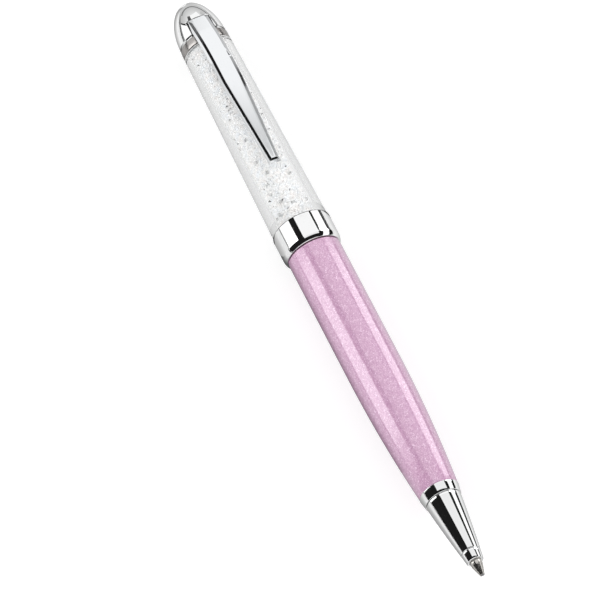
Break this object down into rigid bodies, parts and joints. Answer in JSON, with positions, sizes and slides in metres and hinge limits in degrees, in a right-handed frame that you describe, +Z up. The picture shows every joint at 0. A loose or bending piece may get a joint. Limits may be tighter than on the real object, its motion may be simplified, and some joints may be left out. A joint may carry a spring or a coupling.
{
  "type": "twist pen",
  "caption": "Slim twist-action pen: pink pearl lacquered lower barrel, clear upper tube filled with cut crystals, chrome band, cap, clip and nose, gel refill inside.",
  "frame": {"origin": "under the middle of the pen's length, on the surface that it lies on, below its axis", "axes": "+X along the pen towards the writing point, +Z up through the pocket clip, +Y across"},
  "size_m": [0.14, 0.012, 0.0131],
  "materials": {
    "chrome": "bright polished chrome plate",
    "pearl_lacquer": "pink pearl lacquer with fine glitter under clear coat",
    "clear_acrylic": "clear polished acrylic",
    "cut_crystal": "faceted clear crystal",
    "brass": "turned brass",
    "steel": "turned steel",
    "carbide": "ground tungsten carbide",
    "acetal": "moulded acetal",
    "white_plastic": "white moulded plastic",
    "ring_rubber": "matt black rubber",
    "refill_plastic": "translucent polypropylene",
    "gel_ink": "black gel ink",
    "grease": "clear amber grease"
  },
  "bodies": {
    "barrel": {"lower_barrel": "pearl_lacquer", "end_collar": "chrome", "nose_cone": "chrome", "nose_ring": "chrome", "barrel_insert": "brass", "mechanism_housing": "brass", "retaining_ring": "steel"},
    "upper": {"center_band": "chrome", "coupler_bush": "brass", "friction_ring": "ring_rubber", "cam_sleeve": "acetal", "lower_tube_plug": "white_plastic", "crystal_tube": "clear_acrylic", "crystals": "cut_crystal", "upper_tube_plug": "white_plastic", "cap_ring": "chrome", "dome_cap": "chrome", "cap_stud": "steel", "clip_tang": "steel"},
    "clip": {"pocket_clip": "chrome"},
    "refill": {"plunger": "acetal", "cross_pin": "steel", "refill_tube": "refill_plastic", "refill_tip": "steel", "refill_end_plug": "acetal", "ink_column": "gel_ink", "grease_follower": "grease"},
    "ball": {"writing_ball": "carbide"}
  },
  "joints": [
    {"name": "twist", "type": "hinge", "parent": "barrel", "child": "upper", "pos_m": [0, 0, 0.006], "axis": [-1, 0, 0], "range_deg": [0, 180]},
    {"name": "refill_slide", "type": "slide", "parent": "barrel", "child": "refill", "axis": [-1, 0, 0], "range_m": [0, 0.005]},
    {"name": "clip_flex", "type": "hinge", "parent": "upper", "child": "clip", "pos_m": [-0.06351, 0, 0.00935], "axis": [0, -1, 0], "range_deg": [0, 4], "stiffness_Nm_per_rad": 0.3, "springref_deg": -1.15},
    {"name": "ball_roll", "type": "hinge", "parent": "refill", "child": "ball", "pos_m": [0.06965, 0, 0.006], "axis": [0, 1, 0], "continuous": true}
  ],
  "couplings": [
    {"joint": "refill_slide", "follows": "twist", "m_per_rad": 0.00159}
  ]
}
